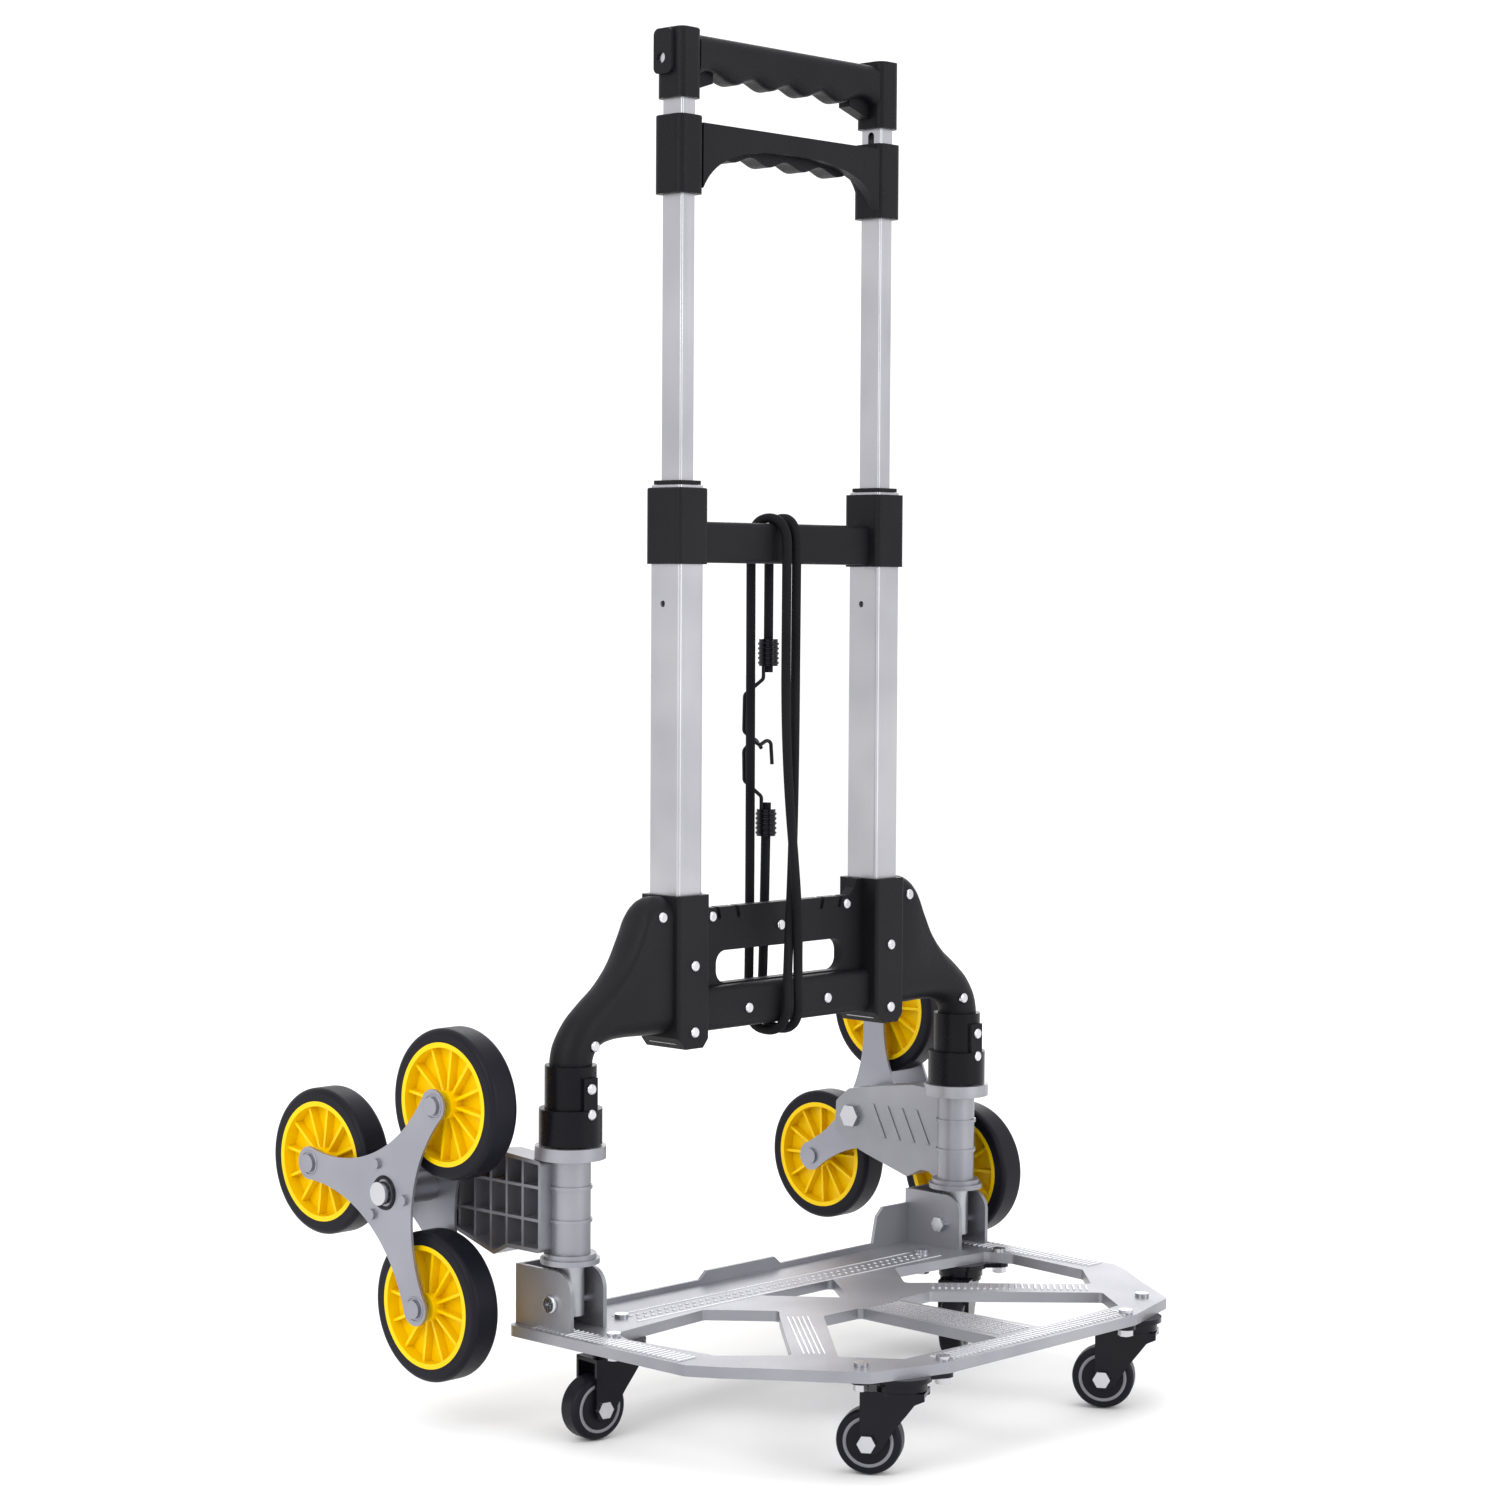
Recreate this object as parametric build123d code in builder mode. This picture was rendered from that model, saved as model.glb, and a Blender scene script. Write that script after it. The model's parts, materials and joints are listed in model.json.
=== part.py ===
from build123d import *
import math
import os

# Stair climbing trolley in millimetres, +Z up, floor at z = 0.
# The folding platform reaches toward -Y, the stair wheels toward +Y.
# Depths are given from the frame's middle plane, which stands at y = FRAME_Y.

os.makedirs("parts", exist_ok=True)

SIDES = (("left", -1), ("right", 1))
FRAME_Y = 3.6

# telescopic rails
RAIL_X = 90.0
OUTER_RAIL = (21.0, 25.2)
OUTER_WALL = 1.3
OUTER_BOTTOM = 225.0
OUTER_TOP = 562.5
MIDDLE_TUBE = (16.0, 20.5)
MIDDLE_WALL = 1.0
MIDDLE_BOTTOM = 250.0
MIDDLE_TOP = 562.8
INNER_TUBE = (11.8, 16.8)
INNER_WALL = 0.9
INNER_BOTTOM = 432.0
INNER_TOP = 832.0
LINER_LENGTH = 20.0
SLIDE_GAP = 0.3
LOCK_HOLE_Z = 491.0
CAP_HEIGHT = 2.5

# handles
UPPER_COLLAR = (18.4, 23.0)
UPPER_BOTTOM = 794.0
UPPER_TOP = 836.0
GRIP_HALF_LENGTH = 81.5
FINGER_PITCH = 31.0
FINGER_DEPTH = 2.2
LOWER_COLLAR = (21.2, 24.4)
LOWER_BOTTOM = 737.0
LOWER_TOP = 784.0
RELEASE_PIN_Z = 776.0
ROD_RADIUS = 2.5
HANDLE_SCREW = (3.8, 817.6)

# plastic parts of the frame
CROSS_SOCKET = (26.0, 30.0)
CROSS_BOTTOM = 515.0
CROSS_TOP = 561.0
CROSS_BAR_TOP = 541.0
CROSS_BAR_HALF_Y = 7.0
SOCKET_HALF_X = 13.5
SOCKET_HALF_Y = 16.7
BRACKET_BOTTOM = 222.0
BRACKET_TOP = 315.0
NOTCH_BAR_TOP = 305.0
NOTCH_BAR_HALF_Y = 3.6
LOWER_BAR_TOP = 257.0
LOWER_BAR_BOTTOM = 230.0
LOWER_BAR_HALF_Y = 10.7
HAND_OPENING = (116.0, 20.0)
ARM_HALF_Y = 12.0
ARM_TUBE_R = 12.8
ARM_FOOT_Z = 217.0
ARM_BORE_DEPTH = 18.0
ARM_ROUND = 9.0
ARM_OUTER_EDGE = [(189.3, 227), (187, 237), (158.5, 262), (141.5, 278.5), (127.5, 300), (126.5, 315)]

# posts, post collars, platform pivot
POST_X = 177.0
POST_R = 8.5
POST_BORE_R = 7.0
POST_BOTTOM = 71.0
POST_TOP = 235.0
COLLAR_BOTTOM = 173.0
COLLAR_STEP = 194.0
COLLAR_TOP = 219.5
COLLAR_LOWER_R = 18.9
COLLAR_UPPER_R = 15.5
STRIP_Y = 17.5
PIVOT_Z = 79.0
PIVOT_R = 3.0
PIVOT_HEAD_R = 5.6
PIVOT_HEAD = 2.8
RUNNING_GAP = 0.05

# wheel arms and tri-star clusters
AXLE_Y = 95.0
AXLE_Z = 139.0
AXLE_R = 5.0
PITCH_R = 71.5
STAR_TURN = {"left": 7.4, "right": -32.3}
STAR_THICK = 1.8
STAR_INNER_X = 203.5
STAR_OUTER_X = 238.0
LOBE_R = 10.0
WAIST_R = 25.0
TYRE_R = 45.0
RIM_R = 36.8
WHEEL_MID_X = 222.0
WHEEL_WIDTH = 20.0
WHEEL_PIN_R = 4.0
HUB_BOSS_REACH = 0.5
SPOKES = 12

# platform
PLATE_TOP = 63.5
PLATE_BOTTOM = 57.0
CLEVIS_INNER = 12.0
CLEVIS_CHEEK = 2.8
CLEVIS_TOP = 99.0
REAR_Y = 31.2
WALL = 2.4

# swivel casters: centre, first screw from the centre, trail direction
CASTER_R = 19.0
CASTER_WIDTH = 14.5
CASTER_TRAIL = 18.0
CASTER_AXLE_R = 3.0
CASTERS = {
    "front_left": ((-108.3, -200.5), (-22.7, 10.9), 58.8),
    "front_right": ((108.3, -200.5), (22.7, 10.9), 58.8),
    "rear_left": ((-158.0, -21.0), (-19.5, -16.8), 8.0),
    "rear_right": ((158.0, -21.0), (19.5, -16.8), -28.0),
}

# elastic cord
CORD_R = 3.0


def level(z):
    """Horizontal plane at height z, its origin in the frame's middle plane."""
    return Plane(origin=(0, FRAME_Y, z), x_dir=(1, 0, 0), z_dir=(0, 0, 1))


def front(y):
    """Upright plane facing -Y at depth y: local x is X, local y is Z."""
    return Plane(origin=(0, FRAME_Y + y, 0), x_dir=(1, 0, 0), z_dir=(0, -1, 0))


def across(x):
    """Upright plane facing +X at x: local x is the depth, local y is Z."""
    return Plane(origin=(x, FRAME_Y, 0), x_dir=(0, 1, 0), z_dir=(1, 0, 0))


def save(piece, label):
    """Name the piece and write its STEP file."""
    piece.part.label = label
    export_step(piece.part, f"parts/{label}.step")


def ring_section(size, wall, corner):
    """Rounded rectangular tube section."""
    with BuildSketch() as section:
        RectangleRounded(size[0], size[1], corner)
        RectangleRounded(size[0] - 2 * wall, size[1] - 2 * wall, max(corner - wall, 0.5), mode=Mode.SUBTRACT)
    return section.sketch


def rounded_outline(points, radius):
    """Polygon face with every corner rounded."""
    with BuildSketch() as shape:
        with BuildLine():
            Polyline(*points, close=True)
        make_face()
        fillet(shape.vertices(), radius)
    return shape.sketch


def grown(size, gap):
    """Section size with a gap all round."""
    return (size[0] + 2 * gap, size[1] + 2 * gap)


# ---------------------------------------------------------------- telescopic rails

for name, s in SIDES:
    with BuildPart() as outer_rail:
        with BuildSketch(level(OUTER_BOTTOM)):
            with Locations((s * RAIL_X, 0)):
                add(ring_section(OUTER_RAIL, OUTER_WALL, 2.0))
        extrude(amount=OUTER_TOP - OUTER_BOTTOM)
        with BuildSketch(across(s * RAIL_X)):
            with Locations((1.5, LOCK_HOLE_Z)):
                Circle(2.0)
        extrude(amount=OUTER_RAIL[0], both=True, mode=Mode.SUBTRACT)
    save(outer_rail, f"outer_rail_{name}")

outer_bore = (OUTER_RAIL[0] - 2 * OUTER_WALL, OUTER_RAIL[1] - 2 * OUTER_WALL)
liner_hole = grown(MIDDLE_TUBE, SLIDE_GAP)

with BuildPart() as rail_liners:
    with BuildSketch(level(OUTER_TOP - 0.5)):
        with Locations((-RAIL_X, 0), (RAIL_X, 0)):
            RectangleRounded(outer_bore[0], outer_bore[1], 0.7)
            RectangleRounded(liner_hole[0], liner_hole[1], 1.5, mode=Mode.SUBTRACT)
    extrude(amount=-LINER_LENGTH)
save(rail_liners, "rail_liners")

with BuildPart() as middle_tubes:
    with BuildSketch(level(MIDDLE_BOTTOM)):
        with Locations((-RAIL_X, 0), (RAIL_X, 0)):
            add(ring_section(MIDDLE_TUBE, MIDDLE_WALL, 1.6))
    extrude(amount=MIDDLE_TOP - MIDDLE_BOTTOM)
save(middle_tubes, "middle_tubes")

middle_bore = grown(MIDDLE_TUBE, -MIDDLE_WALL)
cap_hole = grown(INNER_TUBE, SLIDE_GAP)

with BuildPart() as middle_caps:
    with BuildSketch(level(MIDDLE_TOP)):
        with Locations((-RAIL_X, 0), (RAIL_X, 0)):
            RectangleRounded(19.6, 24.2, 3.0)
            RectangleRounded(cap_hole[0], cap_hole[1], 1.4, mode=Mode.SUBTRACT)
    extrude(amount=CAP_HEIGHT)
    fillet(middle_caps.faces().sort_by(Axis.Z)[-1].edges(), 0.4)
    with BuildSketch(level(MIDDLE_TOP)):
        with Locations((-RAIL_X, 0), (RAIL_X, 0)):
            RectangleRounded(middle_bore[0], middle_bore[1], 0.6)
            RectangleRounded(cap_hole[0], cap_hole[1], 1.4, mode=Mode.SUBTRACT)
    extrude(amount=-12)
save(middle_caps, "middle_caps")

with BuildPart() as inner_tubes:
    with BuildSketch(level(INNER_BOTTOM)):
        with Locations((-RAIL_X, 0), (RAIL_X, 0)):
            add(ring_section(INNER_TUBE, INNER_WALL, 1.4))
    extrude(amount=INNER_TOP - INNER_BOTTOM)
    for name, s in SIDES:
        # slot in the inner face for the release pin, screw hole in the outer face
        with BuildSketch(across(s * RAIL_X)):
            with Locations((0, RELEASE_PIN_Z - 4)):
                SlotOverall(40, 5, rotation=90)
        extrude(amount=-s * INNER_TUBE[0], mode=Mode.SUBTRACT)
        with BuildSketch(across(s * RAIL_X)):
            with Locations(HANDLE_SCREW):
                Circle(1.75)
        extrude(amount=s * INNER_TUBE[0], mode=Mode.SUBTRACT)
save(inner_tubes, "inner_tubes")

inner_bore = grown(INNER_TUBE, -INNER_WALL)

with BuildPart() as lock_blocks:
    with BuildSketch(level(INNER_BOTTOM)):
        with Locations((-RAIL_X, 0), (RAIL_X, 0)):
            RectangleRounded(inner_bore[0], inner_bore[1], 0.5)
    extrude(amount=18)
    with BuildSketch(level(INNER_BOTTOM)):
        with Locations((-RAIL_X, 0), (RAIL_X, 0)):
            RectangleRounded(13.2, 17.7, 1.0)
    extrude(amount=-4)
save(lock_blocks, "lock_blocks")

# ---------------------------------------------------------------- handles


def finger_outline(top, bottom, half_length, end_drop):
    """Grip seen from the front: flat top, four finger bumps below, ends drawn down by end_drop."""
    with BuildSketch() as grip:
        with BuildLine():
            steps = [(-half_length, bottom - end_drop)]
            for step in range(9):
                x = (step - 4) * FINGER_PITCH / 2
                lift = FINGER_DEPTH if step % 2 == 0 else -FINGER_DEPTH
                steps.append((x, bottom + lift))
            steps.append((half_length, bottom - end_drop))
            Spline(*steps)
            Polyline((half_length, bottom - end_drop), (half_length, top), (-half_length, top),
                     (-half_length, bottom - end_drop))
        make_face()
    return grip.sketch


with BuildPart() as upper_handle:
    with BuildSketch(front(0)):
        add(finger_outline(UPPER_TOP - 3, 808.5, GRIP_HALF_LENGTH, 1.0))
    extrude(amount=10.0, both=True)
    long_edges = upper_handle.faces().filter_by(Axis.Y).edges().filter_by(lambda e: e.length > 100)
    fillet(long_edges, 6.0)
    for name, s in SIDES:
        with BuildSketch(level(UPPER_BOTTOM)):
            with Locations((s * RAIL_X, 0)):
                RectangleRounded(UPPER_COLLAR[0], UPPER_COLLAR[1], 5.5)
        extrude(amount=UPPER_TOP - UPPER_BOTTOM)
        with BuildSketch(front(-1)):
            add(rounded_outline([(s * 81.5, 815), (s * 81.5, 798), (s * 84, 796), (s * 84, 815)], 0.5))
            with BuildLine():
                Polyline((s * 62, 806), (s * 83, 799), (s * 83, 815), (s * 62, 815), close=True)
            make_face()
        extrude(amount=-9)
        # outer boss round the handle screw
        with BuildSketch(across(s * (RAIL_X + 5))):
            with Locations((2.5, (808 + UPPER_TOP) / 2 - 0.5)):
                RectangleRounded(15, UPPER_TOP - 808 - 1, 4)
        extrude(amount=s * 7)
    fillet(upper_handle.faces().sort_by(Axis.Z)[-1].edges(), 1.5)
    for name, s in SIDES:
        with BuildSketch(level(UPPER_BOTTOM)):
            with Locations((s * RAIL_X, 0)):
                RectangleRounded(INNER_TUBE[0], INNER_TUBE[1], 1.4)
        extrude(amount=INNER_TOP - UPPER_BOTTOM, mode=Mode.SUBTRACT)
        with BuildSketch(across(s * (RAIL_X + 8.5))):
            with Locations(HANDLE_SCREW):
                Circle(3.4)
        extrude(amount=s * 10, mode=Mode.SUBTRACT)
        with BuildSketch(across(s * RAIL_X)):
            with Locations(HANDLE_SCREW):
                Circle(1.75)
        extrude(amount=s * 12, mode=Mode.SUBTRACT)
save(upper_handle, "upper_handle")

with BuildPart() as handle_screws:
    for name, s in SIDES:
        with BuildSketch(across(s * (RAIL_X + 8.5))):
            with Locations(HANDLE_SCREW):
                Circle(3.2)
        extrude(amount=s * 1.8)
        with BuildSketch(across(s * (RAIL_X + 8.5))):
            with Locations(HANDLE_SCREW):
                Circle(1.75)
        extrude(amount=-s * 7)
save(handle_screws, "handle_screws")

with BuildPart() as lower_handle:
    # finger grip set back behind the arch
    with BuildSketch(front(4)):
        add(finger_outline(778.0, 762.0, GRIP_HALF_LENGTH, 11.0))
    extrude(amount=8.0, both=True)
    back_edges = lower_handle.faces().sort_by(Axis.Y)[-1].edges().filter_by(lambda e: e.length > 100)
    fillet(back_edges, 4.0)
    # front arch
    with BuildSketch(front(-4)):
        with BuildLine():
            Polyline((-80, 741), (-80, 780), (80, 780), (80, 741))
            Spline((80, 741), (70, 753), (45, 764), (0, 768), (-45, 764), (-70, 753), (-80, 741))
        make_face()
    extrude(amount=7.0)
    for name, s in SIDES:
        with BuildSketch(level(LOWER_BOTTOM)):
            with Locations((s * RAIL_X, 0)):
                RectangleRounded(LOWER_COLLAR[0], LOWER_COLLAR[1], 5.5)
        extrude(amount=LOWER_TOP - LOWER_BOTTOM)
    fillet(lower_handle.faces().sort_by(Axis.Z)[-1].edges(), 1.0)
    with BuildSketch(level(LOWER_BOTTOM)):
        with Locations((-RAIL_X, 0), (RAIL_X, 0)):
            RectangleRounded(INNER_TUBE[0] + 2 * SLIDE_GAP, INNER_TUBE[1] + 2 * SLIDE_GAP, 1.6)
    extrude(amount=LOWER_TOP - LOWER_BOTTOM, mode=Mode.SUBTRACT)
save(lower_handle, "lower_handle")

with BuildPart() as pull_rods:
    for name, s in SIDES:
        with BuildSketch(level(INNER_BOTTOM + 20)):
            with Locations((s * RAIL_X, 0)):
                Circle(ROD_RADIUS)
        extrude(amount=RELEASE_PIN_Z + 4 - INNER_BOTTOM - 20)
        with BuildSketch(across(s * RAIL_X)):
            with Locations((0, RELEASE_PIN_Z)):
                Circle(1.9)
        extrude(amount=-s * 8.5)
save(pull_rods, "pull_rods")

# ---------------------------------------------------------------- crossbar and bracket

with BuildPart() as mid_crossbar:
    with BuildSketch(front(0)):
        with Locations((0, (CROSS_BOTTOM + CROSS_BAR_TOP) / 2 + 0.5)):
            Rectangle(2 * RAIL_X - 20, CROSS_BAR_TOP - CROSS_BOTTOM - 1)
    extrude(amount=CROSS_BAR_HALF_Y, both=True)
    fillet(mid_crossbar.edges().filter_by(Axis.X), 3.0)
    with BuildSketch(level(CROSS_BOTTOM)):
        with Locations((-RAIL_X, 0), (RAIL_X, 0)):
            RectangleRounded(CROSS_SOCKET[0], CROSS_SOCKET[1], 4.0)
    extrude(amount=CROSS_TOP - CROSS_BOTTOM)
    fillet(mid_crossbar.faces().sort_by(Axis.Z)[-1].edges(), 1.2)
    with BuildSketch(level(CROSS_BOTTOM)):
        with Locations((-RAIL_X, 0), (RAIL_X, 0)):
            RectangleRounded(OUTER_RAIL[0], OUTER_RAIL[1], 2.0)
    extrude(amount=CROSS_TOP - CROSS_BOTTOM, mode=Mode.SUBTRACT)
save(mid_crossbar, "mid_crossbar")

socket_inner = RAIL_X - SOCKET_HALF_X
socket_outer = RAIL_X + SOCKET_HALF_X

with BuildPart() as centre_bracket:
    # thin notch bar and end webs
    with BuildSketch(front(0)):
        with BuildLine():
            Polyline((0, 240), (socket_inner + 2, 240), (socket_inner + 2, BRACKET_TOP), (71, BRACKET_TOP),
                     (69, 309.5), (64, NOTCH_BAR_TOP), (0, NOTCH_BAR_TOP), close=True)
        make_face()
        for notch_x in (39, 56):
            with Locations((notch_x, NOTCH_BAR_TOP - 2.5)):
                SlotOverall(11, 3, rotation=75, mode=Mode.SUBTRACT)
        with Locations((0, LOWER_BAR_TOP + 11)):
            RectangleRounded(HAND_OPENING[0], HAND_OPENING[1], 8, mode=Mode.SUBTRACT)
    extrude(amount=NOTCH_BAR_HALF_Y, both=True)
    # thick lower bar
    with BuildSketch(front(0)):
        with Locations((socket_inner / 2 + 1, (LOWER_BAR_TOP + LOWER_BAR_BOTTOM) / 2)):
            Rectangle(socket_inner + 2, LOWER_BAR_TOP - LOWER_BAR_BOTTOM)
    extrude(amount=LOWER_BAR_HALF_Y, both=True)
    bar_edges = centre_bracket.edges().filter_by(Axis.X).filter_by(lambda e: abs(e.center().Y - FRAME_Y) > 9)
    fillet(bar_edges, 5.0)
    # rail socket, its foot cut to an octagon
    with BuildSketch(front(0)):
        with BuildLine():
            Polyline((socket_inner, BRACKET_TOP), (socket_outer, BRACKET_TOP), (socket_outer, 229),
                     (socket_outer - 6, BRACKET_BOTTOM), (socket_inner + 6, BRACKET_BOTTOM), (socket_inner, 229),
                     close=True)
        make_face()
    extrude(amount=SOCKET_HALF_Y, both=True)
    fillet(centre_bracket.edges().filter_by(Axis.Z).filter_by(lambda e: e.length > 80), 2.5)
    with BuildSketch(level(OUTER_BOTTOM)):
        with Locations((RAIL_X, 0)):
            RectangleRounded(OUTER_RAIL[0], OUTER_RAIL[1], 2.0)
    extrude(amount=BRACKET_TOP - OUTER_BOTTOM, mode=Mode.SUBTRACT)
    mirror(about=Plane.YZ)
save(centre_bracket, "centre_bracket")

for name, s in SIDES:
    with BuildPart() as side_arm:
        # web from the rail socket out to the post, its outer edge rounded like a tube
        with BuildSketch(front(0)):
            with BuildLine():
                FilletPolyline([(s * x, z) for x, z in ARM_OUTER_EDGE], radius=ARM_ROUND)
                Polyline((s * 126.5, BRACKET_TOP), (s * socket_outer, BRACKET_TOP), (s * socket_outer, 231),
                         (s * 164, 230), (s * 164, 227), (s * 189.3, 227))
            make_face()
        extrude(amount=ARM_HALF_Y, both=True)
        rims = [rim for rim in side_arm.edges() if abs(rim.center().Y - FRAME_Y) > ARM_HALF_Y - 0.1]
        outer_rims = [rim for rim in rims if abs(rim.center().X) > 180 or
                      abs(rim.center().X) > 124 and 231 < rim.center().Z < BRACKET_TOP - 0.1]
        fillet(outer_rims, ARM_ROUND)
        # foot round the post
        with BuildSketch(level(ARM_FOOT_Z)):
            with Locations((s * POST_X, 0)):
                Circle(ARM_TUBE_R)
        extrude(amount=ARM_BORE_DEPTH)
        with BuildSketch(level(ARM_FOOT_Z)):
            with Locations((s * POST_X, 0)):
                Circle(POST_R)
        extrude(amount=ARM_BORE_DEPTH, mode=Mode.SUBTRACT)
    save(side_arm, f"side_arm_{name}")

with BuildPart() as frame_rivets:
    head_spots = (
        (61.7, NOTCH_BAR_HALF_Y, 299.5), (36.1, LOWER_BAR_HALF_Y, 241.9), (RAIL_X, SOCKET_HALF_Y, 272.3),
        (RAIL_X, SOCKET_HALF_Y, 232.0), (113, ARM_HALF_Y, 302.9), (169, ARM_HALF_Y, 230.5),
        (POST_X, STRIP_Y, 206.6), (POST_X, STRIP_Y, 191.5),
    )
    for x, depth, z in head_spots:
        with BuildSketch(front(-depth + 0.5)):
            with Locations((-x, z), (x, z)):
                Circle(3.4)
        extrude(amount=2.2)
    with BuildSketch(front(-NOTCH_BAR_HALF_Y + 0.5)):
        with Locations((0, 290.3)):
            Circle(3.4)
    extrude(amount=2.2)
    fronts = [rivet.faces().sort_by(Axis.Y)[0].edges()[0] for rivet in frame_rivets.solids()]
    fillet(fronts, 1.3)
save(frame_rivets, "frame_rivets")

# ---------------------------------------------------------------- posts and their collars

for name, s in SIDES:
    with BuildPart() as post:
        with BuildSketch(level(POST_BOTTOM)):
            with Locations((s * POST_X, 0)):
                Circle(POST_R)
                Circle(POST_BORE_R, mode=Mode.SUBTRACT)
        extrude(amount=POST_TOP - POST_BOTTOM)
        with BuildSketch(across(s * POST_X)):
            with Locations((0, PIVOT_Z)):
                Circle(PIVOT_R + RUNNING_GAP)
        extrude(amount=POST_R + 1, both=True, mode=Mode.SUBTRACT)
    save(post, f"post_{name}")

with BuildPart() as post_collars:
    for name, s in SIDES:
        with BuildSketch(level(COLLAR_BOTTOM)):
            with Locations((s * POST_X, 0)):
                Circle(COLLAR_LOWER_R)
        extrude(amount=COLLAR_STEP - COLLAR_BOTTOM)
        with BuildSketch(level(COLLAR_STEP)):
            with Locations((s * POST_X, 0)):
                Circle(COLLAR_UPPER_R)
        extrude(amount=COLLAR_TOP - COLLAR_STEP)
        with BuildSketch(level(COLLAR_BOTTOM + 12)):
            with Locations((s * POST_X, -STRIP_Y / 2)):
                Rectangle(11, STRIP_Y)
        extrude(amount=28)
        with BuildSketch(level(COLLAR_BOTTOM)):
            with Locations((s * POST_X, 0)):
                Circle(POST_R)
        extrude(amount=COLLAR_TOP - COLLAR_BOTTOM, mode=Mode.SUBTRACT)
        with BuildSketch(level(ARM_FOOT_Z)):
            with Locations((s * POST_X, 0)):
                Circle(ARM_TUBE_R)
        extrude(amount=COLLAR_TOP - ARM_FOOT_Z, mode=Mode.SUBTRACT)
save(post_collars, "post_collars")

# ---------------------------------------------------------------- platform

PLATE_HALF = [(0, -218), (87, -218), (139, -203), (169, -160), (188, -135), (199, -117), (199, 31.2), (0, 31.2)]
SIDE_OPENING = [(171, -32), (88, -24), (58, -58.5), (69, -69), (139, -144), (170, -113), (177, -50)]
FRONT_OPENING = [(49.5, -87), (17, -88), (20, -198), (100, -195), (123, -165)]
MIDDLE_OPENING = [(36, -17), (-36, -17), (0, -63)]
REAR_WALL = [(0, PLATE_BOTTOM), (0, 71.5), (31, 71.5), (37, 66.5), (127, 66.5), (131, 84), (137, 89.5), (164, 89.5),
             (164, PLATE_BOTTOM)]
CHEEK = [(REAR_Y, PLATE_BOTTOM), (REAR_Y, CLEVIS_TOP), (-16, CLEVIS_TOP), (-16, PLATE_BOTTOM)]

screw_spots = []
for centre, reach, trail in CASTERS.values():
    screw_spots.append((centre[0] + reach[0], centre[1] + reach[1]))
    screw_spots.append((centre[0] - reach[0], centre[1] - reach[1]))

with BuildPart() as platform:
    with BuildSketch(level(PLATE_BOTTOM)) as plate_sketch:
        with BuildLine():
            Polyline(*PLATE_HALF, close=True)
        make_face()
        corners = plate_sketch.vertices().filter_by(lambda v: v.X > 1)
        fillet(corners, 6.0)
        add(rounded_outline(SIDE_OPENING, 4.0), mode=Mode.SUBTRACT)
        add(rounded_outline(FRONT_OPENING, 3.0), mode=Mode.SUBTRACT)
        mirror(about=Plane.YZ)
        add(rounded_outline(MIDDLE_OPENING, 3.0), mode=Mode.SUBTRACT)
    extrude(amount=PLATE_TOP - PLATE_BOTTOM)
    for s in (-1, 1):
        # rear curb with its middle tab and raised ends
        with BuildSketch(front(REAR_Y - WALL)):
            with BuildLine():
                Polyline(*[(s * x, z) for x, z in REAR_WALL], close=True)
            make_face()
        extrude(amount=-WALL)
        with BuildSketch(front(REAR_Y - WALL)):
            with Locations((s * POST_X, (CLEVIS_TOP + PLATE_BOTTOM) / 2)):
                Rectangle(2 * (CLEVIS_INNER + CLEVIS_CHEEK), CLEVIS_TOP - PLATE_BOTTOM)
        extrude(amount=-WALL)
        # clevis cheeks either side of the post
        for cheek_side in (-1, 1):
            with BuildSketch(across(s * POST_X + cheek_side * CLEVIS_INNER)) as cheek:
                with BuildLine():
                    Polyline(*CHEEK, close=True)
                make_face()
                fillet(cheek.vertices().sort_by(Axis.Y)[-2:].sort_by(Axis.X)[0], 12.0)
            extrude(amount=cheek_side * CLEVIS_CHEEK)
        with BuildSketch(across(s * POST_X)):
            with Locations((0, PIVOT_Z)):
                Circle(PIVOT_R)
        extrude(amount=CLEVIS_INNER + CLEVIS_CHEEK + 1, both=True, mode=Mode.SUBTRACT)
    with BuildSketch(level(PLATE_BOTTOM)):
        with Locations(*screw_spots):
            Circle(2.5)
    extrude(amount=PLATE_TOP - PLATE_BOTTOM, mode=Mode.SUBTRACT)
save(platform, "platform")

with BuildPart() as pivot_bolts:
    reach = CLEVIS_INNER + CLEVIS_CHEEK
    for name, s in SIDES:
        with BuildSketch(across(s * POST_X)):
            with Locations((0, PIVOT_Z)):
                Circle(PIVOT_R)
        extrude(amount=reach, both=True)
        with BuildSketch(across(s * (POST_X + reach))):
            with Locations((0, PIVOT_Z)):
                Circle(PIVOT_HEAD_R)
        extrude(amount=s * PIVOT_HEAD)
        fillet(pivot_bolts.faces().sort_by(Axis.X)[-1 if s > 0 else 0].edges(), 1.4)
        with BuildSketch(across(s * (POST_X + reach + PIVOT_HEAD))):
            with Locations((0, PIVOT_Z)):
                Rectangle(5.0, 1.1)
                Rectangle(1.1, 5.0)
        extrude(amount=-s * 1.2, mode=Mode.SUBTRACT)
        with BuildSketch(across(s * (POST_X - reach))):
            with Locations((0, PIVOT_Z)):
                RegularPolygon(5.2, 6)
        extrude(amount=-s * 4.0)
save(pivot_bolts, "pivot_bolts")

# ---------------------------------------------------------------- swivel casters

EAR_R = 6.0
RACE_BOTTOM = 49.0
YOKE_TOP = 48.6
YOKE_THICK = 2.0
YOKE_INNER = 8.3
YOKE_SIDE = [(-14.5, YOKE_TOP), (-14.5, 44.5), (-9, 42.0), (-4, 35.5), (2, 28.0), (10, 15.5), (14, 12.5), (20, 12.0),
             (22.5, 15.0), (22.5, YOKE_TOP)]

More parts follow.
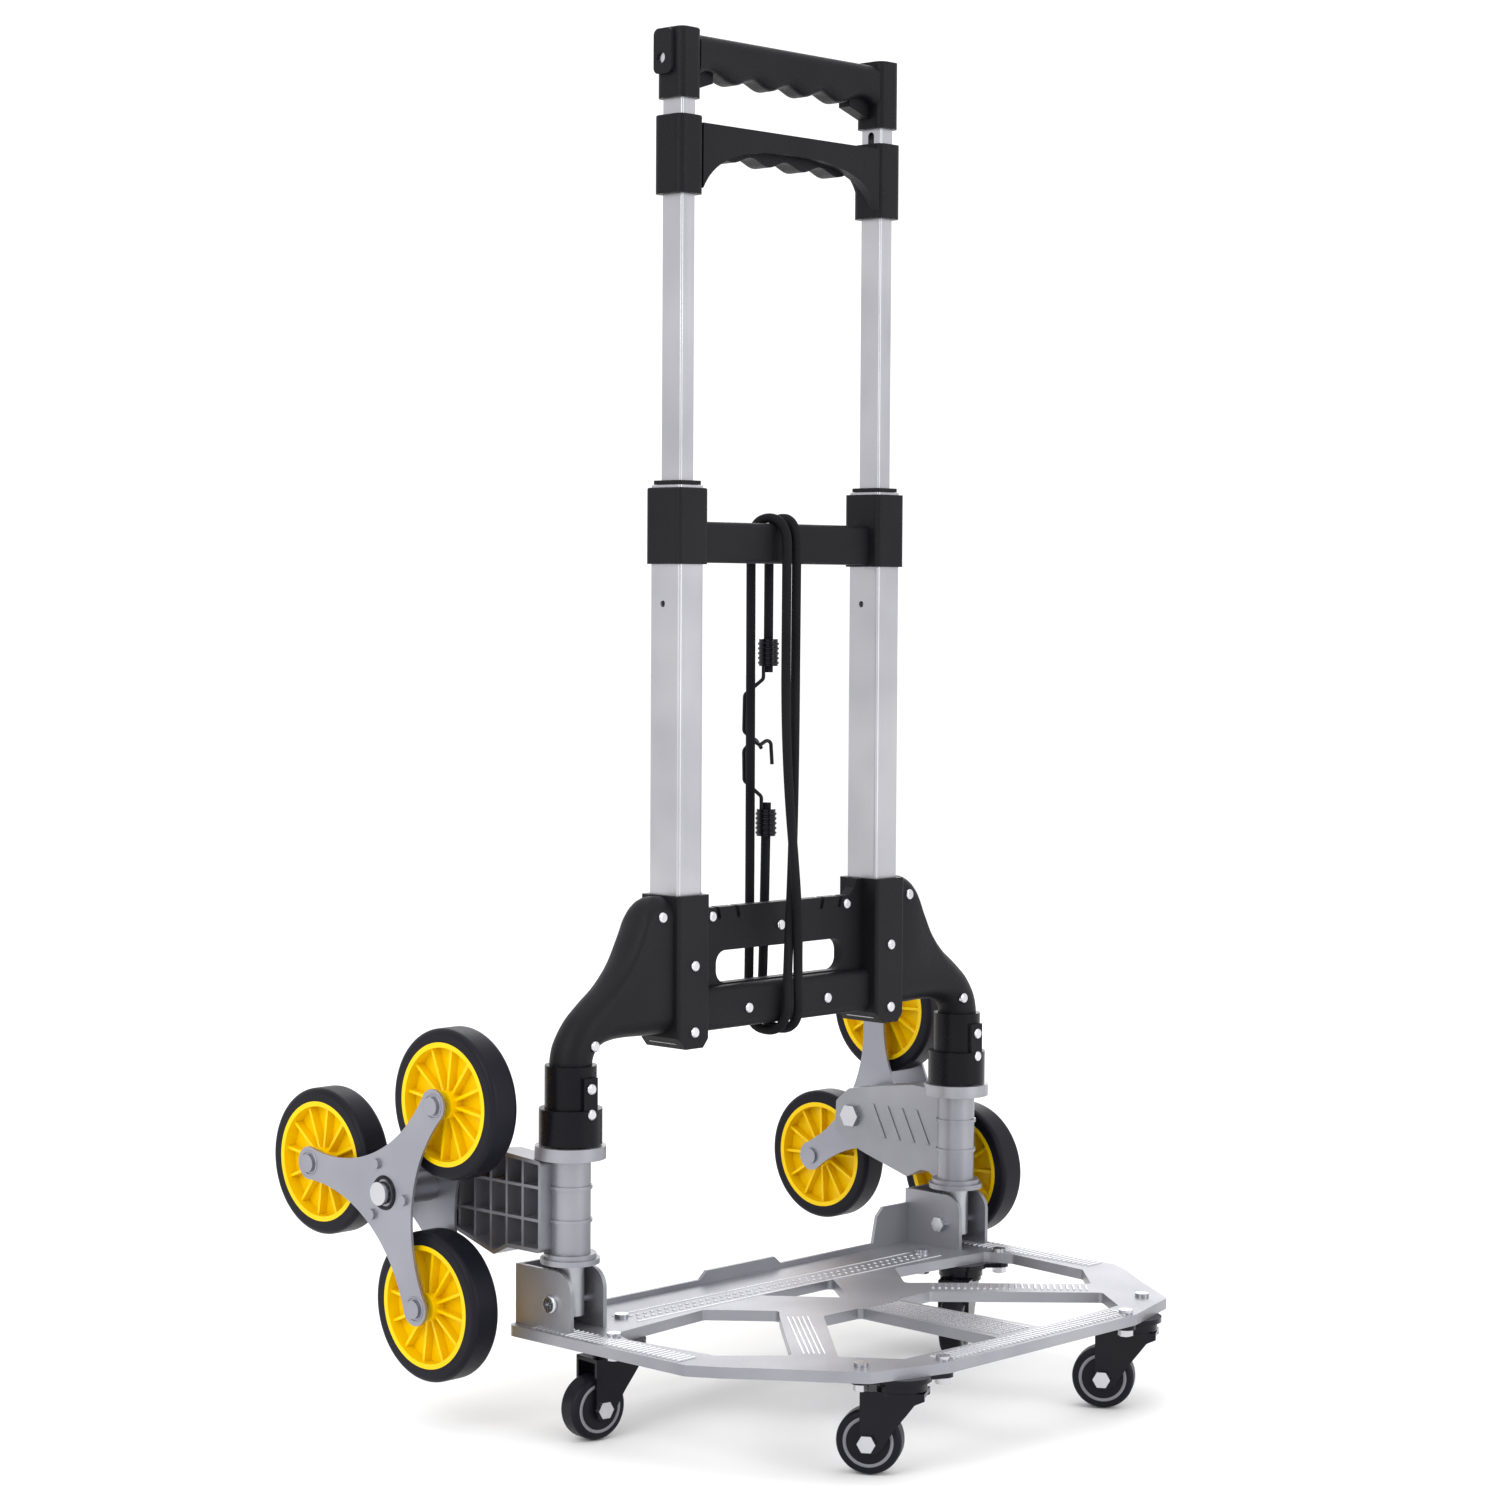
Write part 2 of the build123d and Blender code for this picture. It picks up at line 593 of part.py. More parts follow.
with BuildPart() as caster_screws:
    with BuildSketch(level(PLATE_TOP)):
        with Locations(*screw_spots):
            Circle(4.2)
    extrude(amount=2.4)
    with BuildSketch(level(PLATE_TOP)):
        with Locations(*screw_spots):
            Circle(2.5)
    extrude(amount=-14.0)
    with BuildSketch(level(PLATE_BOTTOM - 3.0)):
        with Locations(*screw_spots):
            RegularPolygon(4.6, 6)
    extrude(amount=-4.0)
save(caster_screws, "caster_screws")

with BuildPart() as caster_plates:
    for centre, reach, trail in CASTERS.values():
        turn = math.degrees(math.atan2(reach[1], reach[0]))
        with BuildSketch(level(PLATE_BOTTOM)):
            with Locations(centre):
                Circle(17.0)
                SlotCenterToCenter(2 * math.hypot(*reach), 2 * EAR_R, rotation=turn)
        extrude(amount=-3.0)
        with BuildSketch(level(PLATE_BOTTOM - 3.0)):
            with Locations(centre):
                Circle(14.5)
        extrude(amount=RACE_BOTTOM - PLATE_BOTTOM + 3.0)
        with BuildSketch(level(RACE_BOTTOM)):
            with Locations(centre):
                Circle(4.0 + RUNNING_GAP)
        extrude(amount=PLATE_BOTTOM - RACE_BOTTOM - 1.0, mode=Mode.SUBTRACT)
    with BuildSketch(level(PLATE_BOTTOM)):
        with Locations(*screw_spots):
            Circle(2.5)
    extrude(amount=-3.0, mode=Mode.SUBTRACT)
save(caster_plates, "caster_plates")

for name, (centre, reach, trail) in CASTERS.items():
    trail_dir = (-math.cos(math.radians(trail)), math.sin(math.radians(trail)), 0)
    axle_dir = (-math.sin(math.radians(trail)), -math.cos(math.radians(trail)), 0)
    swivel = (centre[0], FRAME_Y + centre[1], 0)
    upright = Plane(origin=swivel, x_dir=trail_dir, z_dir=axle_dir)
    flat = Plane(origin=swivel, x_dir=trail_dir, z_dir=(0, 0, 1))
    z_sign = upright.y_dir.Z

    with BuildPart() as caster_fork:
        for cheek_side in (-1, 1):
            with BuildSketch(upright.offset(cheek_side * YOKE_INNER)):
                with BuildLine():
                    Polyline(*[(t, z_sign * z) for t, z in YOKE_SIDE], close=True)
                make_face()
            extrude(amount=cheek_side * YOKE_THICK)
        with BuildSketch(flat.offset(YOKE_TOP)):
            with Locations((4, 0)):
                RectangleRounded(37, 2 * (YOKE_INNER + YOKE_THICK), 1.0)
            Circle(13.5)
        extrude(amount=-2.4)
        with BuildSketch(flat.offset(YOKE_TOP)):
            Circle(4.0)
        extrude(amount=6.5)
        with BuildSketch(upright):
            with Locations((CASTER_TRAIL, z_sign * CASTER_R)):
                Circle(CASTER_AXLE_R)
        extrude(amount=YOKE_INNER + YOKE_THICK + 1, both=True, mode=Mode.SUBTRACT)
    save(caster_fork, f"caster_fork_{name}")

    with BuildPart() as caster_axle:
        end = YOKE_INNER + YOKE_THICK
        with BuildSketch(upright):
            with Locations((CASTER_TRAIL, z_sign * CASTER_R)):
                Circle(CASTER_AXLE_R)
        extrude(amount=end, both=True)
        with BuildSketch(upright.offset(end)):
            with Locations((CASTER_TRAIL, z_sign * CASTER_R)):
                RegularPolygon(5.4, 6)
        extrude(amount=3.6)
        with BuildSketch(upright.offset(-end)):
            with Locations((CASTER_TRAIL, z_sign * CASTER_R)):
                RegularPolygon(5.4, 6)
        extrude(amount=-3.0)
    save(caster_axle, f"caster_axle_{name}")

    with BuildPart() as caster_wheel:
        with BuildSketch(upright):
            with Locations((CASTER_TRAIL, z_sign * CASTER_R)):
                Circle(CASTER_R)
        extrude(amount=CASTER_WIDTH / 2, both=True)
        fillet(caster_wheel.edges(), 3.0)
        with BuildSketch(upright):
            with Locations((CASTER_TRAIL, z_sign * CASTER_R)):
                Circle(CASTER_AXLE_R + RUNNING_GAP)
        extrude(amount=CASTER_WIDTH, both=True, mode=Mode.SUBTRACT)
    save(caster_wheel, f"caster_wheel_{name}")

# ---------------------------------------------------------------- wheel arms

SLEEVE_R = 12.2
FLANGE_R = 21.2
FOOT_R = 17.7
SLEEVE_BOTTOM = 102.0
SLEEVE_TOP = 171.9
FLANGE_BOTTOM = 164.3
WEB_X = 179.0
RIB_X = 197.0
ARM_OUTLINE = [(4, 163.5), (40, 166), (66, 162.5), (98, 157.4), (109.5, 148), (110.5, 128), (99, 120), (82.4, 114.3),
               (45, 103), (32.7, 109), (4, 109)]
POCKETS = [(21, 131), (36, 131), (51, 131), (66, 134)]

for name, s in SIDES:
    with BuildPart() as wheel_arm:
        # boxed web open to the outside
        with BuildSketch(across(s * WEB_X)) as web:
            add(rounded_outline(ARM_OUTLINE, 3.0))
        extrude(amount=s * 2.6)
        with BuildSketch(across(s * WEB_X)):
            add(rounded_outline(ARM_OUTLINE, 3.0))
            offset(amount=-2.4, mode=Mode.SUBTRACT, kind=Kind.INTERSECTION)
        extrude(amount=s * (RIB_X - WEB_X))
        # cross ribs
        with BuildSketch(across(s * WEB_X)) as ribs:
            with Locations((48, 147.3), (48, 127.6)):
                Rectangle(92, 1.8)
            for rib_y in (22, 36, 50, 64, 78):
                with Locations((rib_y, 135)):
                    Rectangle(1.8, 70)
            add(rounded_outline(ARM_OUTLINE, 3.0), mode=Mode.INTERSECT)
        extrude(amount=s * (RIB_X - WEB_X - 2))
        # axle boss
        with BuildSketch(across(s * WEB_X)):
            with Locations((AXLE_Y, AXLE_Z)):
                Circle(11.0)
        extrude(amount=s * 23.0)
        # sleeve with rings, top flange and stepped foot
        with BuildSketch(level(SLEEVE_BOTTOM)):
            with Locations((s * POST_X, 0)):
                Circle(SLEEVE_R)
        extrude(amount=SLEEVE_TOP - SLEEVE_BOTTOM)
        for ring_z in (126.6, 146.3):
            with BuildSketch(level(ring_z)):
                with Locations((s * POST_X, 0)):
                    Circle(SLEEVE_R + 1.0)
            extrude(amount=2.0)
        with BuildSketch(level(FLANGE_BOTTOM)):
            with Locations((s * POST_X, 0)):
                Circle(FLANGE_R)
        extrude(amount=SLEEVE_TOP - FLANGE_BOTTOM)
        with BuildSketch(level(SLEEVE_BOTTOM)):
            with Locations((s * POST_X, 0)):
                Circle(FOOT_R)
        extrude(amount=3.2)
        with BuildSketch(level(SLEEVE_BOTTOM + 3.2)):
            with Locations((s * POST_X, 0)):
                Circle(FOOT_R - 2.0)
        extrude(amount=2.8)
        with BuildSketch(level(SLEEVE_BOTTOM)):
            with Locations((s * POST_X, 0)):
                Circle(POST_R + RUNNING_GAP)
        extrude(amount=SLEEVE_TOP - SLEEVE_BOTTOM, mode=Mode.SUBTRACT)
        with BuildSketch(across(s * WEB_X)):
            with Locations((AXLE_Y, AXLE_Z)):
                Circle(AXLE_R)
        extrude(amount=s * 30.0, mode=Mode.SUBTRACT)
    save(wheel_arm, f"wheel_arm_{name}")

    with BuildPart() as axle_bolt:
        with BuildSketch(across(s * WEB_X)):
            with Locations((AXLE_Y, AXLE_Z)):
                Circle(AXLE_R)
        extrude(amount=s * (STAR_OUTER_X + STAR_THICK + 1.2 - WEB_X))
        with BuildSketch(across(s * (STAR_OUTER_X + STAR_THICK + 1.2))):
            with Locations((AXLE_Y, AXLE_Z)):
                Circle(7.0)
        extrude(amount=s * 4.0)
        with BuildSketch(across(s * WEB_X)):
            with Locations((AXLE_Y, AXLE_Z)):
                RegularPolygon(8.0, 6)
        extrude(amount=-s * 3.5)
    save(axle_bolt, f"axle_bolt_{name}")

# ---------------------------------------------------------------- tri-star clusters


def star_face():
    """Three lobes round the wheel pins, joined by hollow sides."""
    with BuildSketch() as star:
        with BuildLine():
            for lobe in range(3):
                turn = 120 * lobe
                tip_right = Vector(PITCH_R, -LOBE_R).rotate(Axis.Z, turn)
                tip = Vector(PITCH_R + LOBE_R, 0).rotate(Axis.Z, turn)
                tip_left = Vector(PITCH_R, LOBE_R).rotate(Axis.Z, turn)
                waist = Vector(WAIST_R, 0).rotate(Axis.Z, turn + 60)
                next_right = Vector(PITCH_R, -LOBE_R).rotate(Axis.Z, turn + 120)
                ThreePointArc(tip_right, tip, tip_left)
                ThreePointArc(tip_left, waist, next_right)
        make_face()
    return star.sketch


for name, s in SIDES:
    turn = math.radians(STAR_TURN[name])
    lobe_dir = (0, math.cos(turn), math.sin(turn))
    axle = (0, FRAME_Y + AXLE_Y, AXLE_Z)
    cluster = Plane(origin=axle, x_dir=lobe_dir, z_dir=(s, 0, 0))

    with BuildPart() as cluster_plates:
        for plate_x in (STAR_INNER_X, STAR_OUTER_X):
            with BuildSketch(cluster.offset(plate_x)):
                add(star_face())
                with PolarLocations(PITCH_R, 3):
                    Circle(WHEEL_PIN_R, mode=Mode.SUBTRACT)
            extrude(amount=STAR_THICK)
        with BuildSketch(cluster.offset(STAR_INNER_X)):
            Circle(9.0)
        extrude(amount=STAR_OUTER_X - STAR_INNER_X)
        with BuildSketch(cluster.offset(STAR_INNER_X)):
            Circle(AXLE_R + RUNNING_GAP)
        extrude(amount=STAR_OUTER_X - STAR_INNER_X + STAR_THICK, mode=Mode.SUBTRACT)
    save(cluster_plates, f"cluster_plates_{name}")

    with BuildPart() as cluster_pins:
        with BuildSketch(cluster.offset(STAR_INNER_X)):
            with PolarLocations(PITCH_R, 3):
                Circle(WHEEL_PIN_R)
        extrude(amount=STAR_OUTER_X + STAR_THICK - STAR_INNER_X)
        with BuildSketch(cluster.offset(STAR_OUTER_X + STAR_THICK)):
            with PolarLocations(PITCH_R, 3):
                Circle(5.5)
            with PolarLocations(18.0, 3, start_angle=60):
                Circle(3.2)
        extrude(amount=2.0)
        with BuildSketch(cluster.offset(STAR_INNER_X)):
            with PolarLocations(PITCH_R, 3):
                Circle(5.5)
        extrude(amount=-1.8)
    save(cluster_pins, f"cluster_pins_{name}")

    for number in range(3):
        angle = math.radians(STAR_TURN[name] + s * 120 * number)
        centre = (0, FRAME_Y + AXLE_Y + PITCH_R * math.cos(angle), AXLE_Z + PITCH_R * math.sin(angle))
        wheel = Plane(origin=centre, x_dir=(0, math.cos(angle), math.sin(angle)), z_dir=(s, 0, 0))
        middle = wheel.offset(WHEEL_MID_X)

        with BuildPart() as stair_hub:
            with BuildSketch(middle):
                Circle(RIM_R)
                Circle(RIM_R - 3.0, mode=Mode.SUBTRACT)
            extrude(amount=WHEEL_WIDTH / 2, both=True)
            with BuildSketch(middle):
                Circle(RIM_R - 1.0)
            extrude(amount=1.2, both=True)
            with BuildSketch(middle):
                with PolarLocations(20.0, SPOKES):
                    Rectangle(30.0, 1.8)
            extrude(amount=WHEEL_WIDTH / 2 - 3.0, both=True)
            with BuildSketch(middle):
                Circle(8.5)
            extrude(amount=WHEEL_WIDTH / 2 + HUB_BOSS_REACH, both=True)
            with BuildSketch(middle):
                Circle(WHEEL_PIN_R + RUNNING_GAP)
            extrude(amount=WHEEL_WIDTH, both=True, mode=Mode.SUBTRACT)
        save(stair_hub, f"stair_hub_{name}_{number + 1}")

        with BuildPart() as stair_tyre:
            with BuildSketch(middle):
                Circle(TYRE_R)
            extrude(amount=WHEEL_WIDTH / 2, both=True)
            fillet(stair_tyre.edges(), 3.5)
            with BuildSketch(middle):
                Circle(RIM_R)
            extrude(amount=WHEEL_WIDTH, both=True, mode=Mode.SUBTRACT)
        save(stair_tyre, f"stair_tyre_{name}_{number + 1}")

# ---------------------------------------------------------------- elastic cord and its wire hooks

CORD_ROUTE = [
    (6, 14, 448), (6.5, 14.3, 544.4), (1, -14.5, 544.4), (0, -14.5, 350), (-7.5, -14.5, 226.3), (-9, 14.3, 226.3),
    (-10, 14.3, 544.4), (-8, -14.5, 544.4), (-9.5, -15.5, 400), (-3, -21.5, 300), (4, -14.5, 226.3), (3, 14.3, 226.3),
    (5, 14, 366),
]
BAR_TURN = 10.0
CORD_TURNS = [BAR_TURN] * 2 + [1500.0] + [BAR_TURN] * 4 + [800.0, 400.0] + [BAR_TURN] * 2
WIRE_R = 1.2
WIRE_TURN = 3.0
COIL_R = 6.0
COIL_LENGTH = 17.0
HOOK_UPPER = [(1.7, 14, 462), (1.7, 14, 444), (-9, 20, 434), (-9, 20.5, 411), (0, 15.5, 402), (8, 13.5, 407),
              (9.5, 13.5, 390)]
HOOK_LOWER = [(0.4, 14, 352), (0.4, 14, 370), (-9, 20, 380), (-9, 20.5, 399), (0, 20, 407), (6, 19.5, 400)]


def swept(points, radii, wire_r):
    """Round wire or cord along straight runs joined by tangent arcs."""
    with BuildPart() as tube:
        with BuildLine() as path:
            FilletPolyline(*[(x, FRAME_Y + y, z) for x, y, z in points], radius=radii)
        with BuildSketch(Plane(origin=path.line @ 0, z_dir=path.line % 0)):
            Circle(wire_r)
        sweep()
    print("cord or wire length", round(sum(run.length for run in path.edges()), 1), "radii", radii)
    return tube.part


with BuildPart() as bungee_cord:
    add(swept(CORD_ROUTE, CORD_TURNS, CORD_R))
save(bungee_cord, "bungee_cord")

with BuildPart() as bungee_hooks:
    for coil_bottom, coil_x, hook in ((452, 6.1, HOOK_UPPER), (345, 4.8, HOOK_LOWER)):
        with BuildSketch(level(coil_bottom)):
            with Locations((coil_x, 14)):
                Circle(COIL_R)
                Circle(CORD_R, mode=Mode.SUBTRACT)
        extrude(amount=COIL_LENGTH)
        add(swept(hook, WIRE_TURN, WIRE_R))
save(bungee_hooks, "bungee_hooks")
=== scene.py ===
import bpy
import bmesh
import json
import math
from mathutils import Matrix, Vector


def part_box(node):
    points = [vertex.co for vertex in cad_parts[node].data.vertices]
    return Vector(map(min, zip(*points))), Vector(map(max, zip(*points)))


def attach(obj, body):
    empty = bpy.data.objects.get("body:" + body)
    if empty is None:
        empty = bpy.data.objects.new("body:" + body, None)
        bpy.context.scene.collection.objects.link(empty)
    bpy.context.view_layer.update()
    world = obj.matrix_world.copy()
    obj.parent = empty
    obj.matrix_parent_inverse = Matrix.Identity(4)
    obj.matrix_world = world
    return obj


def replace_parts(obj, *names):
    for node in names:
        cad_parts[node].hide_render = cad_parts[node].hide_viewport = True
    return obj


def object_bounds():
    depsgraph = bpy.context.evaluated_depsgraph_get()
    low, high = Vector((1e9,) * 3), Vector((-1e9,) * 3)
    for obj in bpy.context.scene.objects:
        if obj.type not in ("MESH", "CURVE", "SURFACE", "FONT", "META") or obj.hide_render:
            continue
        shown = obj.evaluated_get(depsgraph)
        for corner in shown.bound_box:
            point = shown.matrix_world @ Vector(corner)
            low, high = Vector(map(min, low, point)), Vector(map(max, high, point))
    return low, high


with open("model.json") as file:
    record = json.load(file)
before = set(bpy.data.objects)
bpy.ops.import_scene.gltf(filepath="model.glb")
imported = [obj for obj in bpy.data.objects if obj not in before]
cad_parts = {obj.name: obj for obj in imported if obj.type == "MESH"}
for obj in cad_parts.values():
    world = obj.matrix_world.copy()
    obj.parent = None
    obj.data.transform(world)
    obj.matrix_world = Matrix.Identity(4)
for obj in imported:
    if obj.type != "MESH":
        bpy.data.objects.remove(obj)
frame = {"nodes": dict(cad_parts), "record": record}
CAD_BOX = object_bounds()
NODES = frame["nodes"]
SIDES = (("left", -1), ("right", 1))
CASTER_NAMES = ("front_left", "front_right", "rear_left", "rear_right")

# depth of the frame's middle plane, in metres
FRAME_Y = 0.0036
MM = 0.001

# ------------------------------------------------------------------ camera, floor, light

camera_data = bpy.data.cameras.new("camera")
camera_data.sensor_width = 36.0
camera_data.lens = 79.63
camera_data.clip_end = 20.0
camera = bpy.data.objects.new("camera", camera_data)
turn = Matrix.Rotation(math.radians(-46.5), 4, "Z") @ Matrix.Rotation(math.radians(87.27), 4, "X")
roll = Matrix.Rotation(math.radians(0.33), 4, "Z")
camera.matrix_world = Matrix.Translation((-1.51625, -1.41158, 0.49855)) @ turn @ roll
bpy.context.scene.collection.objects.link(camera)
bpy.context.scene.camera = camera
bpy.context.scene.view_settings.view_transform = "Standard"

# ------------------------------------------------------------------ elastic cord

CORD_RADIUS = 0.003
CORD_ROUTE = [
    (6, 14, 448), (6.4, 14.2, 508), (6.5, 14.3, 544.4), (1, -14.5, 544.4), (0.8, -14.5, 508), (0, -14.5, 350),
    (-5.3, -14.5, 262), (-7.5, -16.5, 224.5), (-9, 16.5, 224.5), (-9.1, 14.3, 262), (-9.9, 14.3, 508),
    (-10, 14.3, 544.4), (-8, -14.5, 544.4), (-8.4, -14.8, 508), (-9.5, -15.5, 400), (-3, -21.5, 300),
    (0.6, -17.9, 262), (4, -16.5, 224.5), (3, 16.5, 224.5), (3.5, 14.2, 262), (5, 14, 366),
]
cord_data = bpy.data.curves.new("elastic_cord", "CURVE")
cord_data.dimensions = "3D"
# a bevel of 1 leaves each point's own radius as the cord's radius
cord_data.bevel_depth = 1.0
cord_data.bevel_resolution = 5
cord_data.resolution_u = 14
cord_data.use_fill_caps = True
run = cord_data.splines.new("NURBS")
run.points.add(len(CORD_ROUTE) - 1)
for point, (x, y, z) in zip(run.points, CORD_ROUTE):
    point.co = (x * MM, y * MM + FRAME_Y, z * MM, 1)
    point.radius = CORD_RADIUS
run.order_u = 3
run.use_endpoint_u = True
elastic_cord = bpy.data.objects.new("elastic_cord", cord_data)
bpy.context.scene.collection.objects.link(elastic_cord)
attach(elastic_cord, "frame")
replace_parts(elastic_cord, "bungee_cord")



def soft_light(name, place, aim, width, height, power):
    """Rectangular softbox at a place, turned to its aim."""
    data = bpy.data.lights.new(name, "AREA")
    data.shape = "RECTANGLE"
    data.size = width
    data.size_y = height
    data.energy = power
    lamp = bpy.data.objects.new(name, data)
    lamp.location = place
    lamp.rotation_euler = (Vector(aim) - Vector(place)).to_track_quat("-Z", "Y").to_euler()
    bpy.context.scene.collection.objects.link(lamp)


MIDDLE = (0, 0, 0.4)
soft_light("key_left", (-2.2, -0.4, 1.5), MIDDLE, 1.2, 1.8, 22)
soft_light("fill_front", (0.6, -2.4, 1.0), MIDDLE, 1.0, 1.6, 16)
soft_light("top", (0.0, 0.0, 2.4), MIDDLE, 2.0, 2.0, 10)
soft_light("back_right", (1.9, 1.4, 1.3), MIDDLE, 1.2, 1.6, 10)

world = bpy.data.worlds.new("studio")
world.use_nodes = True
world.node_tree.nodes["Background"].inputs["Color"].default_value = (1, 1, 1, 1)
world.node_tree.nodes["Background"].inputs["Strength"].default_value = 1.15
bpy.context.scene.world = world

# ------------------------------------------------------------------ materials


def new_material(name, colour, rough, metal=0.0, coat=0.0):
    """Principled material; returns it with its node tree and shader."""
    mat = bpy.data.materials.new(name)
    mat.use_nodes = True
    shader = mat.node_tree.nodes["Principled BSDF"]
    shader.inputs["Base Color"].default_value = (*colour, 1)
    shader.inputs["Roughness"].default_value = rough
    shader.inputs["Metallic"].default_value = metal
    shader.inputs["Coat Weight"].default_value = coat
    shader.inputs["Specular IOR Level"].default_value = 0.5 if metal else 0.12
    return mat, mat.node_tree, shader


def noise(tree, scale, stretch=(1, 1, 1), detail=3.0):
    """Noise over the object, scale in cells per metre, stretched along the axes."""
    place = tree.nodes.new("ShaderNodeTexCoord")
    mapping = tree.nodes.new("ShaderNodeMapping")
    mapping.inputs["Scale"].default_value = stretch
    texture = tree.nodes.new("ShaderNodeTexNoise")
    texture.inputs["Scale"].default_value = scale
    texture.inputs["Detail"].default_value = detail
    tree.links.new(place.outputs["Object"], mapping.inputs["Vector"])
    tree.links.new(mapping.outputs["Vector"], texture.inputs["Vector"])
    return texture.outputs["Fac"]


def ranged(tree, value, low, high):
    """Value from 0..1 mapped to low..high."""
    node = tree.nodes.new("ShaderNodeMapRange")
    node.inputs["From Min"].default_value = 0.3
    node.inputs["From Max"].default_value = 0.7
    node.inputs["To Min"].default_value = low
    node.inputs["To Max"].default_value = high
    tree.links.new(value, node.inputs["Value"])
    return node.outputs["Result"]


def bump(tree, shader, value, height, strength=0.4):
    """Bump of the given height in metres."""
    node = tree.nodes.new("ShaderNodeBump")
    node.inputs["Strength"].default_value = strength
    node.inputs["Distance"].default_value = height
    tree.links.new(value, node.inputs["Height"])
    tree.links.new(node.outputs["Normal"], shader.inputs["Normal"])


def tinted(tree, shader, value, dark, light):
    """Colour drifting between two tints."""
    mix = tree.nodes.new("ShaderNodeMix")
    mix.data_type = "RGBA"
    mix.inputs["A"].default_value = (*dark, 1)
    mix.inputs["B"].default_value = (*light, 1)
    tree.links.new(ranged(tree, value, 0, 1), mix.inputs["Factor"])
    tree.links.new(mix.outputs["Result"], shader.inputs["Base Color"])


def grained(name, dark, light, rough, grain, height, metal=0.0, coat=0.0, stretch=(1, 1, 1), strength=0.4):
    """Surface with a fine grain: colour, roughness and bump follow noise."""
    mat, tree, shader = new_material(name, light, rough, metal, coat)
    fine = noise(tree, grain, stretch)
    cloudy = noise(tree, 14, (1, 1, 1), 2)
    tinted(tree, shader, cloudy, dark, light)
    tree.links.new(ranged(tree, fine, rough - 0.05, rough + 0.05), shader.inputs["Roughness"])
    bump(tree, shader, fine, height, strength)
    return mat


ALUMINIUM = grained("drawn_aluminium", (0.37, 0.37, 0.40), (0.48, 0.48, 0.51), 0.34, 700, 0.00008, 0.9,
                    stretch=(1, 1, 0.012), strength=0.45)
CAST = grained("silver_cast", (0.24, 0.24, 0.27), (0.34, 0.34, 0.37), 0.38, 1300, 0.00020, 0.75, strength=0.7)
SHEET = grained("silver_sheet", (0.25, 0.25, 0.29), (0.33, 0.33, 0.37), 0.36, 1400, 0.00016, 0.78, strength=0.6)
# brighter copy of the plate metal for the raised deck ridges, lines and dots: painted highlight
EMBOSSED = grained("ridges_painted_highlight", (0.50, 0.50, 0.54), (0.64, 0.64, 0.68), 0.26, 1300, 0.00010, 0.9)
BLACK = grained("black_moulding", (0.006, 0.006, 0.008), (0.010, 0.010, 0.012), 0.46, 750, 0.00030,
                strength=0.6)
HANDLE = grained("handle_moulding", (0.005, 0.005, 0.007), (0.009, 0.009, 0.011), 0.44, 650, 0.00040,
                 strength=0.7)
COLLAR = grained("collar_moulding", (0.003, 0.003, 0.005), (0.005, 0.005, 0.007), 0.30, 900, 0.00006)
YELLOW = grained("yellow_moulding", (0.78, 0.50, 0.0), (0.86, 0.58, 0.0), 0.34, 700, 0.00006, coat=0.1)
TYRE = grained("tyre_rubber", (0.005, 0.005, 0.009), (0.009, 0.009, 0.014), 0.40, 1100, 0.00010)
LACQUER = grained("black_lacquer", (0.002, 0.002, 0.005), (0.004, 0.004, 0.007), 0.22, 500, 0.00004, coat=0.15)
CHROME = grained("bright_rivet", (0.55, 0.55, 0.58), (0.66, 0.66, 0.69), 0.16, 600, 0.00003, 1.0)
ZINC = grained("zinc_screw", (0.44, 0.44, 0.47), (0.56, 0.56, 0.59), 0.24, 900, 0.00004, 1.0)
CORD = grained("braided_cord", (0.003, 0.003, 0.004), (0.010, 0.010, 0.012), 0.70, 1800, 0.0004, strength=0.9)
RING = grained("pale_ring", (0.16, 0.16, 0.18), (0.22, 0.22, 0.24), 0.45, 900, 0.00005)

elastic_cord.data.materials.append(CORD)

SLOT_MATERIALS = {
    "rail_aluminium": ALUMINIUM, "cast_aluminium": CAST, "plate_aluminium": SHEET, "rivet_aluminium": SHEET,
    "black_plastic": BLACK, "handle_plastic": HANDLE, "collar_plastic": COLLAR, "yellow_plastic": YELLOW,
    "tyre_rubber": TYRE, "caster_tyre": TYRE, "caster_steel": LACQUER, "rivet_chrome": CHROME,
    "screw_steel": ZINC,
    "hook_steel": LACQUER, "elastic_cord": CORD,
}
for part in frame["record"]["subparts"]:
    cad = NODES[part["node"]]
    cad.data.materials.clear()
    cad.data.materials.append(SLOT_MATERIALS[part["material_slot"]])

# ------------------------------------------------------------------ small pieces on the CAD parts


def piece(name, mesh, material, body, smooth=True):
    """Object from a finished bmesh, riding on a body."""
    data = bpy.data.meshes.new(name)
    bmesh.ops.recalc_face_normals(mesh, faces=mesh.faces)
    mesh.to_mesh(data)
    mesh.free()
    data.materials.append(material)
    for polygon in data.polygons:
        polygon.use_smooth = smooth
    made = bpy.data.objects.new(name, data)
    bpy.context.scene.collection.objects.link(made)
    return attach(made, body)


def lathe(mesh, profile, centre, axis, turns=64):
    """Closed (radius, height) section in mm turned about an axis through centre."""
    axis = Vector(axis).normalized()
    side = axis.orthogonal().normalized()
    other = axis.cross(side)
    rings = []
    for step in range(turns):
        angle = 2 * math.pi * step / turns
        out = side * math.cos(angle) + other * math.sin(angle)
        rings.append([mesh.verts.new(Vector(centre) + (out * radius + axis * height) * MM)
                      for radius, height in profile])
    for step in range(turns):
        here, there = rings[step], rings[(step + 1) % turns]
        for k in range(len(profile)):
            n = (k + 1) % len(profile)
            mesh.faces.new((here[k], here[n], there[n], there[k]))


